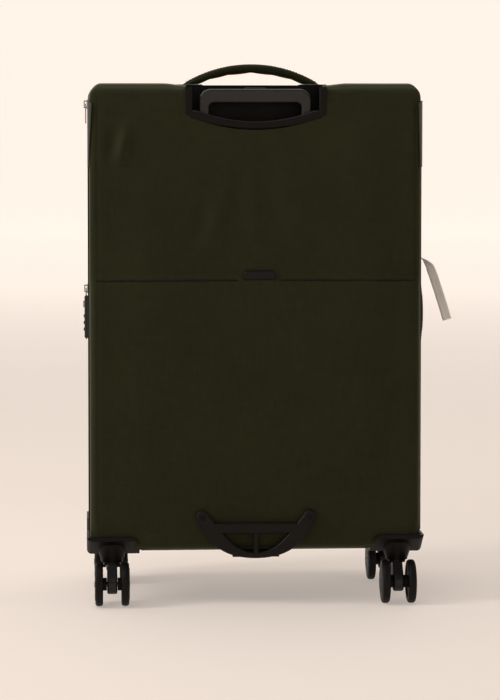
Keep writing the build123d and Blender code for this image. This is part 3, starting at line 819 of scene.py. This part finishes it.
def make_sides(look):
    """The deep fabric band round the case, from the back panel's seam to the expansion zip."""
    depth = GUSSET_HIGH.y - SEAM_Y
    steps = 34
    outer = []
    for i in range(steps + 1):
        y = SEAM_Y + depth * i / steps
        under = 1.0 * MM * (1 - rise(y - SEAM_Y - LAP, 0, 1))
        outer.append((edge_inset(y) + under if i < steps else 1.0 * MM, y))
    inner = [(WALL, SEAM_Y + depth * i / 6) for i in range(6, -1, -1)]

    def swell(p, row, nx, nz):
        if row > steps:
            return 0.0
        window = math.sin(math.pi * row / steps) ** 0.6
        soft = 0.9 * wander(p, 0.11, 1.3) + 0.5 * wander(p, 0.045, 5.1)
        return MM * window * (soft - 0.55) * (0.35 if nz > 0.5 else 1.0)

    sides = ring_skin("side_cloth", outer + inner, look["body"], "shell", "side_fabric", swell)
    for v in sides.data.vertices:
        if v.co.z > HIGH_Z - WALL + 1 * MM:
            v.co = rolled_top(v.co) - Vector((0, 0, top_bulge(v.co) * rise(v.co.y, -30, 100)))
    sides.data.update()
    line_inside(sides, look, faces_inside)
    cut_boxes(sides, [((BEZEL_LOW.x + 2 * MM, BACK_Y - OUTSIDE, BEZEL_LOW.z),
                       (BEZEL_HIGH.x - 2 * MM, BEZEL_HIGH.y - 1 * MM, HIGH_Z + OUTSIDE)), *housing_cuts()])
    sides.data.shade_smooth()
    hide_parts("rear_gusset")


def split_path(path, keep):
    """The stretches of a closed path whose points pass keep."""
    runs, current = [], []
    for p in path:
        if keep(p):
            current.append(p)
        elif current:
            runs.append(current)
            current = []
    if current:
        if runs and keep(path[0]):
            runs[0] = current + runs[0]
        else:
            runs.append(current)
    return [r for r in runs if len(r) > 3]


def clear_of_back_trim(p, margin=1.5 * MM):
    """Is a point of the back edge clear of its corner housings and below the roll of the top?"""
    housing_low, housing_high = BACK_HOUSING
    in_housing = abs(p[0]) > housing_low.x - margin and p[2] < housing_high.z + margin
    return not in_housing and p[2] < HIGH_Z - 24 * MM


def clear_of_front_housings(p, margin=1.5 * MM):
    """Is a point of the shell's front edge clear of its corner housings?"""
    housing_low, housing_high = FRONT_HOUSING
    return not (abs(p[0]) > housing_low.x - margin and p[2] < housing_high.z + margin)


def off_hinge_side(p):
    """Is a point clear of the side that the lid folds back against?"""
    return p[0] < HALF_W - CORNER_R / 2


def make_pipings(look):
    """Covered cords along the back panel's edge and both edges of the front band and lid."""
    lines = (
        # name, depth along Y, inset, radius, body, and which points to keep
        ("back", SEAM_Y + LAP + 0.6 * MM, 0.4 * MM, 1.6 * MM, "shell", clear_of_back_trim),
        ("shell_front", GUSSET_HIGH.y - 2.0 * MM, 0.8 * MM, 1.3 * MM, "shell", clear_of_front_housings),
        ("band_back", BAND_LOW.y + 1.6 * MM, 0.6 * MM, 1.2 * MM, "front_section", lambda p: True),
        ("band_front", BAND_HIGH.y - 1.6 * MM, 0.6 * MM, 1.2 * MM, "front_section", off_hinge_side),
        ("lid", LID_LOW.y + 1.6 * MM, 0.6 * MM, 1.3 * MM, "front_lid", off_hinge_side),
    )
    slots = {"shell": "side_fabric", "front_section": "band_fabric", "front_lid": "lid_fabric"}
    for name, y, inset, radius, body, keep in lines:
        path = [(x, y, z) for x, z, _, _ in outline(inset, 4 * MM)]
        runs = split_path(path, keep)
        whole = len(runs) == 1 and len(runs[0]) == len(path)
        for i, run in enumerate(runs):
            tube(f"piping_{name}_{i + 1}", run, radius, look["piping"], body, slots[body], closed=whole)


def make_back_stitching(look, panel):
    """The dashed seam across the back, with a dark cord under it as its painted shadow line, and an upright
    row near each side.
    """
    tree = surface_of(panel)
    toward = (0, 1, 0)
    seam_y = BACK_Y - 10 * MM
    slant = 1.2 * MM
    row = [(x * MM, seam_y, SEAM_Z + slant * math.cos(x / 140)) for x in range(-203, 207, 6)]
    left = [p for p in row if p[0] < -18.5 * MM]
    right = [p for p in row if p[0] > 27 * MM]
    for name, part in (("left", left), ("right", right)):
        stitches(f"seam_stitches_{name}", part, tree, toward, "shell", "panel_fabric", look["thread"],
                 thick=0.62 * MM)
        # painted shadow: a dark cord in the thread's colour just below the seam, standing for the shade under
        # its fold
        below = Vector((0, OUTSIDE, 1.6 * MM))
        shadow_line = [landed(tree, p - below, toward, -0.2 * MM) for p in map(Vector, part)]
        shadow_line = [p for p in shadow_line if p]
        tube(f"seam_shadow_line_{name}", shadow_line, 0.7 * MM, look["thread"], "shell", "panel_fabric")
    for name, x in zip(("left", "right"), SEAM_X):
        inner_x = x + (1.2 * MM if x < 0 else -1.2 * MM)
        upright = [(inner_x, seam_y, (98 + 6 * i) * MM) for i in range(92)]
        stitches(f"upright_stitches_{name}", upright, tree, toward, "shell", "panel_fabric", look["thread"],
                 length=2.4 * MM, gap=1.5 * MM, thick=0.28 * MM)


def make_corner_trims(look):
    """Smooth coated strips folded round the back's upper side edges, narrowing downward."""
    top, bottom = HIGH_Z - 20 * MM, 565 * MM
    radius = EDGE_R + 0.9 * MM
    # tail is the share of the width that is left at the lower end
    for side, name, tail in ((-1, "left", 0.06), (1, "right", 0.55)):
        verts = []
        rows, cols = 26, 8
        for r in range(rows + 1):
            t = r / rows
            reach = ((1 - t) * (1 - tail) + tail) * smooth_step(0.25 + t / 0.06)
            for c in range(cols + 1):
                a = math.radians(68 - 34 * reach + (22 + 34 * reach) * c / cols)
                x = side * (HALF_W - EDGE_R + radius * math.sin(a))
                verts.append((x, BACK_Y + EDGE_R - radius * math.cos(a), top + (bottom - top) * t))
        strip = make_piece(f"corner_trim_{name}", verts, grid_faces(rows, cols), look["coated"], "shell",
                           "side_fabric")
        thicken(strip, 1.0 * MM)


# ---------------------------------------------------------------- front section, lid and pocket
def make_band(look):
    """The narrow fabric band between the two zips."""
    depth = BAND_HIGH.y - BAND_LOW.y
    steps = 6
    outer = [(0.6 * MM if i in (0, steps) else 0.0, BAND_LOW.y + depth * i / steps) for i in range(steps + 1)]
    inner = [(WALL, BAND_HIGH.y), (WALL, BAND_LOW.y)]
    lock_low, lock_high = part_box("lock_body")

    def swell(p, row, nx, nz):
        if row > steps:
            return 0.0
        return MM * math.sin(math.pi * row / steps) * (0.25 + 0.35 * wander(p, 0.05, 2.2))

    band = ring_skin("band_cloth", outer + inner, look["trim"], "front_section", "band_fabric", swell)
    cut_boxes(band, [((lock_low.x - 10 * MM, lock_low.y, lock_low.z),
                      (lock_high.x + 2 * MM, lock_high.y, lock_high.z))])
    line_inside(band, look, faces_inside)
    band.data.shade_smooth()
    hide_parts("front_band")


def coil(name, path, normals, body, slot, look, pitch=1.9 * MM, gape=1.5 * MM):
    """Zip teeth: small nylon loops set across a line of points, each with its outward normal."""
    verts, faces = [], []
    points = [Vector(p) for p in path]
    shape = ((-1.0, 0.0), (-0.8, 0.55), (0.0, 0.8), (0.8, 0.55), (1.0, 0.0))
    for i, offset, span, along in spaced(points, pitch):
        t = offset / span
        middle = points[i].lerp(points[i + 1], t)
        outward = Vector(normals[i]).lerp(Vector(normals[i + 1]), t).normalized()
        across = along.cross(outward)
        first = len(verts)
        for end in (-0.36, 0.36):
            for u, h in shape:
                verts.append(middle + along * (pitch * end) + across * (gape * u) + outward * (MM * h))
        for k in range(4):
            faces.append((first + k, first + k + 1, first + 6 + k, first + 5 + k))
        faces.append((first, first + 5, first + 9, first + 4))
        faces.append(tuple(first + k for k in (4, 3, 2, 1, 0)))
        faces.append(tuple(first + k for k in (5, 6, 7, 8, 9)))
    teeth = make_piece(name, verts, faces, look["coil"], body, slot, smooth=False)
    face_outwards(teeth.data)


def make_ring_zip(look, node, name, body, keep):
    """One zip round the case: woven tape with coil teeth along its middle."""
    low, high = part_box(node)
    middle = (low.y + high.y) / 2
    sunk = 1.2 * MM
    tape = ring_skin(f"{name}_tape", [(sunk, low.y), (sunk, high.y), (3.4 * MM, high.y), (3.4 * MM, low.y)],
                     look["tape"], body, "zip_tape")
    line = outline(sunk, 4 * MM)
    line.append(line[0])
    path = [(x, middle, z) for x, z, _, _ in line]
    normals = [(nx, 0, nz) for _, _, nx, nz in line]
    runs = split_path(list(zip(path, normals)), lambda pair: keep(pair[0]))
    for i, run in enumerate(runs):
        coil(f"{name}_teeth_{i + 1}", [r[0] for r in run], [r[1] for r in run], body, "zip_tape", look)
    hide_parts(node)


def beyond_hinge(p):
    """Is a point of the main zip clear of the lid's fabric hinge?"""
    return not (p[0] > 0 and HINGE_LOW.z < p[2] < HINGE_HIGH.z)


def make_lid(look):
    """The padded lid."""

    def held(p, n):
        inner = 1.0 if n.y < -0.3 else 0.0
        under_pocket = abs(p.x) < POCKET_HIGH.x and POCKET_LOW.z < p.z < POCKET_HIGH.z
        return max(inner, 0.9 if under_pocket else 0.0, 1 - rise(edge_distance(p), 6, 22))

    lid = soft_piece("front_lid", "lid_cloth", "front_lid", look["body"],
                     4.0 * MM, 4 * MM, held, pressure=4.0, shrink=0.6 * MM)

    def soft(p, n):
        if n.y < 0.5:
            return 0.0
        return MM * (0.7 * wander(p, 0.07, 4.4) - 0.2) * rise(edge_distance(p), 0, 30)

    push_surface(lid, soft)
    line_inside(lid, look, lambda c, n: n.y < -0.5)
    return lid


def flat_tape(name, verts, look):
    """A zip's tape on the lid, from the four corners of each of its cross-sections."""
    rows = len(verts) // 4
    faces = ring_faces(rows, 4) + end_faces(rows, 4)
    tape = make_piece(name, verts, faces, look["tape"], "front_lid", "zip_tape", smooth=False)
    face_outwards(tape.data)


def pocket_line(inset):
    """The pocket's inverted U as (x, z), from its lower left, up and over to its lower right."""
    half = POCKET_HIGH.x - inset
    high = POCKET_HIGH.z - inset
    radius = 30 * MM - inset * 0.5
    low = POCKET_LOW.z + 60 * MM
    line = [(-half, low + (high - radius - low) * i / 60) for i in range(60)]
    for first, cx in ((180, -half + radius), (90, half - radius)):
        for i in range(10):
            a = math.radians(first - 90 * i / 10)
            line.append((cx + radius * math.cos(a), high - radius + radius * math.sin(a)))
        if first == 180:
            line += [(-half + radius + (2 * half - 2 * radius) * i / 50, high) for i in range(50)]
    line += [(half, high - radius - (high - radius - low) * i / 60) for i in range(61)]
    return line


def make_lid_pocket(look, lid):
    """The zip and the sewn border of the flat pocket in the lid's lining."""
    tree = surface_of(lid)
    toward = (0, 1, 0)
    start_y = LID_LOW.y - 20 * MM
    half, low_z, high_z = 165 * MM, LOW_Z + 55 * MM, HIGH_Z - 70 * MM
    line = [landed(tree, (-half + 2 * half * i / 60, start_y, high_z), toward, 0.15 * MM) for i in range(61)]
    line = [p for p in line if p]
    verts = []
    for p in line:
        for j, k in ((0, 0), (1, 0), (1, 1), (0, 1)):
            verts.append(p + Vector((0, -0.3 * MM * k, 8 * MM * (j - 0.5))))
    flat_tape("lid_pocket_tape", verts, look)
    inward = [p - Vector((0, 0.3 * MM, 0)) for p in line]
    coil("lid_pocket_teeth", inward, [(0, -1, 0)] * len(inward), "front_lid", "zip_tape", look, gape=1.2 * MM)
    top = high_z + 9 * MM
    corners = [(-half, top), (half, top), (half, low_z), (-half, low_z), (-half, top)]
    for i, (a, b) in enumerate(zip(corners, corners[1:])):
        path = [(a[0] + (b[0] - a[0]) * k / 60, start_y, a[1] + (b[1] - a[1]) * k / 60) for k in range(61)]
        stitches(f"lid_pocket_stitches_{i + 1}", path, tree, toward, "front_lid", "lid_fabric", look["tape"],
                 length=2.8 * MM, gap=1.6 * MM, thick=0.4 * MM)


def make_pocket(look):
    """The front pocket with the zip and stitching round its inverted U."""

    def edge(p):
        return min(POCKET_HIGH.x - abs(p.x), p.z - POCKET_LOW.z, POCKET_HIGH.z - p.z)

    def held(p, n):
        inner = 1.0 if n.y < 0.1 else 0.0
        return max(inner, 1 - rise(edge(p), 24, 30))

    pocket = soft_piece("front_pocket", "pocket_cloth", "front_lid", look["body"],
                        4.5 * MM, 6 * MM, held, pressure=4.0, shrink=0.5 * MM)

    def soft(p, n):
        if n.y < 0.5:
            return 0.0
        fall = 0.8 * wander((p.x, 0, p.z * 0.35), 0.05, 6.2) + 0.5 * wander(p, 0.09, 8.8)
        return MM * fall * rise(edge(p), 20, 40)

    push_surface(pocket, soft)
    tree = surface_of(pocket)
    toward = (0, -1, 0)
    front = POCKET_HIGH.y + OUTSIDE
    zip_line = [landed(tree, (x, front, z), toward, 0.1 * MM) for x, z in pocket_line(18 * MM)]
    zip_line = [p for p in zip_line if p is not None]
    verts = []
    thick = Vector((0, 0.25 * MM, 0))
    for i, p in enumerate(zip_line):
        ahead = zip_line[min(i + 1, len(zip_line) - 1)] - zip_line[max(i - 1, 0)]
        across = ahead.normalized().cross(Vector((0, 1, 0))) * (4.2 * MM)
        verts += [p - across, p + across, p + across + thick, p - across + thick]
    flat_tape("pocket_zip_tape", verts, look)
    outward = [(0, 1, 0)] * len(zip_line)
    coil("pocket_zip_teeth", zip_line, outward, "front_lid", "zip_tape", look, gape=1.3 * MM)
    for name, inset in (("outer", 11.5 * MM), ("inner", 24.5 * MM)):
        path = [(x, front - 30 * MM, z) for x, z in pocket_line(inset)]
        stitches(f"pocket_stitches_{name}", path, tree, toward, "front_lid", "pocket_fabric", look["thread"],
                 length=2.6 * MM, gap=1.6 * MM, thick=0.32 * MM)


# ---------------------------------------------------------------- handles, ribbon, wheels
def make_handles(look):
    """The two padded carry handles with a row of stitches along each edge."""
    # toward looks down on the handle, and outwards is the axis that it stands out along
    for node, name, body, toward, outwards in (
        ("top_carry_handle", "top_handle_cloth", "top_handle", (0, 0, -1), 2),
        ("side_carry_handle", "side_handle_cloth", "side_handle", (-1, 0, 0), 0),
    ):
        low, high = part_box(node)

        def held(p, n, low=low, outwards=outwards):
            return 1 - rise(p[outwards] - low[outwards], 1, 5)

        handle = soft_piece(node, name, body, look["webbing"], 3.0 * MM, 2.5 * MM, held,
                            pressure=3.0, shrink=0.8 * MM)
        tree = surface_of(handle)
        span = 0 if outwards == 2 else 2
        centre = (low + high) / 2
        for side in (-1, 1):
            path = []
            for i in range(61):
                p = centre.copy()
                p[span] = low[span] + (high[span] - low[span]) * (0.04 + 0.92 * i / 60)
                p.y = centre.y + side * (high.y - low.y) * 0.36
                p[outwards] = high[outwards] + 10 * MM
                path.append(p)
            stitches(f"{name}_stitches_{'ab'[side > 0]}", path, tree, toward, body, "handle_fabric",
                     look["thread"], length=2.6 * MM, gap=1.5 * MM, thick=0.35 * MM)


def make_expansion_cloth(look):
    """The folded cloth behind the expansion zip, which opens as the front section moves out."""
    low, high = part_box("expansion_gusset")
    inset = HALF_W - high.x
    fold_low, fold_high = 92.0 * MM, 98.0 * MM
    depths = [low.y, *[fold_low + (fold_high - fold_low) * i / 12 for i in range(13)], high.y]
    outer = [(inset + 0.25 * MM * (i % 2), y) for i, y in enumerate(depths)]
    inner = [(inset + 1.0 * MM, y) for y in reversed(depths)]
    cloth = ring_skin("expansion_cloth", outer + inner, look["gusset"], None, "gusset_fabric")
    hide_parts("expansion_gusset")
    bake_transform(cloth)


def make_hinge_cloth(look):
    """The strip of doubled cloth that the lid turns on."""
    rows, cols = 60, 12
    verts = []
    for r in range(rows + 1):
        z = HINGE_LOW.z + (HINGE_HIGH.z - HINGE_LOW.z) * r / rows
        for c in range(cols + 1):
            y = HINGE_LOW.y - 1 * MM + (HINGE_HIGH.y - HINGE_LOW.y + 2 * MM) * c / cols
            verts.append((HINGE_HIGH.x - 0.75 * MM + 0.5 * MM * math.sin(math.pi * c / cols), y, z))
    strip = make_piece("hinge_cloth", verts, grid_faces(rows, cols), look["trim"], None, "hinge_fabric")
    thicken(strip, 1.2 * MM)
    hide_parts("lid_hinge_strip")
    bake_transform(strip)


def make_lining(look):
    """The loose lining inside the back, drawn over the handle's tubes, their foot and the grip's cup."""
    half, low_z, high_z = HALF_W - 6.2 * MM, LOW_Z + 6.2 * MM, HIGH_Z - 6.2 * MM
    _, tube_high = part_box("outer_tubes")
    tube_x = tube_high.x - 8.4 * MM
    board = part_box("back_board")[1].y + 2.2 * MM
    cols, rows = 84, 120
    verts = []
    for r in range(rows + 1):
        z = low_z + (high_z - low_z) * r / rows
        for c in range(cols + 1):
            x = -half + 2 * half * c / cols
            over_tube = 1 - rise(abs(abs(x) - tube_x), 11, 14)
            over_cup = (1 - rise(abs(x) - BEZEL_HIGH.x, 2, 14)) * rise(z - BEZEL_LOW.z, -18, 14)
            over_foot = (1 - rise(z, 104, 20)) * (1 - rise(abs(x), 84, 16))
            out = max(over_tube * (tube_high.y + 2 * MM - board),
                      over_cup * (BEZEL_HIGH.y + 2.5 * MM - board),
                      over_foot * (22 * MM))
            loose = rise(min(half - abs(x), z - low_z, high_z - z), 0, 14)
            wrinkle = 1.6 * wander((x, 0, z * 0.5), 0.05, 9.4) + 0.7 * wander((x, 0, z), 0.02, 2.6)
            verts.append((x, board + out + MM * wrinkle * loose * 0.6 + 0.6 * MM, z))
    faces = grid_faces(rows, cols)
    lining = make_piece("back_lining", verts, faces, look["lining"], "shell", "gusset_fabric")
    thicken(lining, 0.8 * MM)


def make_ribbon(look):
    """The blank luggage ribbon, which comes over the side handle and ends free."""
    low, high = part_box("hang_tag")
    middle = (low.y + high.y) / 2
    width = 11.8 * MM
    # (x, z) in millimetres, from the handle out and down to the free end
    route = ((216, 431), (219, 440), (223, 444), (229, 440), (236, 432), (241, 419), (248, 398), (254, 379),
             (259.5, 361))
    points = [Vector((x * MM, middle, z * MM)) for x, z in route]
    lengths = [0.0]
    for a, b in zip(points, points[1:]):
        lengths.append(lengths[-1] + (b - a).length)
    verts = []
    steps, cols = 72, 4
    for i in range(steps + 1):
        at = lengths[-1] * i / steps
        k = min(max(j for j in range(len(points)) if lengths[j] <= at + 1e-9), len(points) - 2)
        t = (at - lengths[k]) / (lengths[k + 1] - lengths[k])
        here = points[k].lerp(points[k + 1], t)
        along = (points[k + 1] - points[k]).normalized()
        if 0 < k:
            before = (points[k] - points[k - 1]).normalized()
            along = before.lerp(along, smooth_step(0.5 + t)).normalized()
        flat = rise(at, 12, 34)
        across = Vector((0, 1, 0)).lerp(Vector((along.z, 0.25, -along.x)), flat).normalized()
        for c in range(cols + 1):
            u = c / cols - 0.5
            verts.append(here + across * (width * u) + Vector((0, 0.5 * MM * math.cos(math.pi * u), 0)))
    ribbon = make_piece("ribbon_tag", verts, grid_faces(steps, cols), look["ribbon"], "side_handle", "ribbon")
    thicken(ribbon, 0.35 * MM)
    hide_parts("hang_tag")


def make_wheel_trim(look):
    """A ribbed cap on the outer face of each wheel."""
    turns = 60
    # radius and height of the cap's rings in millimetres, from the middle out
    profile = ((3.4, 1.4), (4.2, 0.9), (6.0, 0.7), (6.4, 0.15), (18.0, 0.15), (18.6, 0.7), (20.4, 0.75),
               (21.0, 0.0))
    for name in [n for n in NODES if n.startswith("wheel_") and n[-2:] in ("_a", "_b")]:
        low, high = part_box(name)
        axle_y, axle_z = (low.y + high.y) / 2, (low.z + high.z) / 2
        axle_low, axle_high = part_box("wheel_axle_" + name[6:-2])
        middle = (axle_low.x + axle_high.x) / 2
        out = 1 if (low.x + high.x) / 2 > middle else -1
        face = high.x if out > 0 else low.x
        verts = []
        for radius, lift in profile:
            for k in range(turns):
                a = 2 * math.pi * k / turns
                rib = 0.55 if (k % 10) < 3 and 6.0 < radius < 18.5 else 0.0
                verts.append((face + out * (lift + rib) * MM * 0.8, axle_y + radius * MM * math.cos(a),
                              axle_z + radius * MM * math.sin(a)))
        faces = ring_faces(len(profile), turns) + end_faces(len(profile), turns)
        cap = make_piece("cap_" + name, verts, faces, look["hub"], name, "wheel_rubber", smooth=False)
        face_outwards(cap.data)


def set_cad_materials(look):
    """Better materials for the CAD nodes that stay."""
    by_start = {
        "back_board": "board", "frame_hoops": "board", "handle_bezel": "bezel", "outer_tubes": "tube",
        "middle_tubes": "tube", "inner_tubes": "tube", "tube_foot_bracket": "board",
        "bottom_grab_handle": "kick", "panel_screws": "black_steel", "id_tag_slot": "body", "id_tag": "tag",
        "swivel_kingpins": "steel", "corner_housing": "housing", "handle_anchors": "webbing",
        "lock_body": "lock", "lock_button": "gunmetal", "lock_dial": "dial", "trolley_grip": "grip",
        "push_button": "button", "caster_fork": "fork", "wheel_axle": "steel", "wheel_": "wheel",
        "main_zip_upper": "gunmetal", "main_zip_lower": "gunmetal", "expansion_zip_": "gunmetal",
        "pocket_zip": "gunmetal",
    }
    for name, node in NODES.items():
        match = max((k for k in by_start if name.startswith(k)), key=len, default=None)
        if match:
            node.data.materials.clear()
            node.data.materials.append(look[by_start[match]])


def make_stage():
    """A pale round room that gives off light, more of it far out: a floor that curves up into a wall."""
    m = Nodes("studio_paper", (0.56, 0.49, 0.445), 0.9, specular=0.1)
    m.tint(m.noise(1.4, 2), 0.985, 1.015)
    parts = m.node("ShaderNodeVectorMath", operation="LENGTH")
    m.link(m.place, parts.inputs[0])
    # the light given off grows from 0.36 near the case to 0.74 beyond 6 m
    glow = m.ramp(parts.outputs["Value"], 0.9, 6.0, 0.36, 0.74)
    m.shader.inputs["Emission Color"].default_value = (*WARM, 1)
    m.link(glow, m.shader.inputs["Emission Strength"])
    reach, bend = 14.0, 3.0
    wall, extra = 5.0, 8.0  # the wall's height, and how much higher it is behind the case's front
    profile = [(0.01, 0.0), (1.0, 0.0), (4.0, 0.0), (reach - bend, 0.0)]
    for i in range(1, 13):
        a = math.radians(90 * i / 12)
        profile.append((reach - bend + bend * math.sin(a), bend - bend * math.cos(a)))
    profile.append((reach, wall))
    turns = 72
    verts = []
    for radius, z in profile:
        for k in range(turns):
            a = 2 * math.pi * k / turns
            raised = extra * max(math.sin(a), 0.0) if z == wall else 0.0
            verts.append((radius * math.cos(a), radius * math.sin(a), z + raised))
    faces = ring_faces(len(profile), turns) + end_faces(len(profile), turns)[:1]
    mesh = add_mesh("backdrop", verts, faces)
    mesh.materials.append(m.material)
    mesh.shade_smooth()
    add_object("backdrop", mesh)


# ---------------------------------------------------------------- everything
make_camera()
make_light()
make_stage()
LOOK = make_materials()
set_cad_materials(LOOK)
back = make_back_panel(LOOK)
make_sides(LOOK)
make_pipings(LOOK)
make_back_stitching(LOOK, back)
make_corner_trims(LOOK)
make_band(LOOK)
make_ring_zip(LOOK, "expansion_zip", "expansion_zip", "shell", lambda p: True)
make_ring_zip(LOOK, "main_zip", "main_zip", "front_section", beyond_hinge)
make_lid_pocket(LOOK, make_lid(LOOK))
make_pocket(LOOK)
make_expansion_cloth(LOOK)
make_hinge_cloth(LOOK)
make_lining(LOOK)
make_handles(LOOK)
make_ribbon(LOOK)
make_wheel_trim(LOOK)
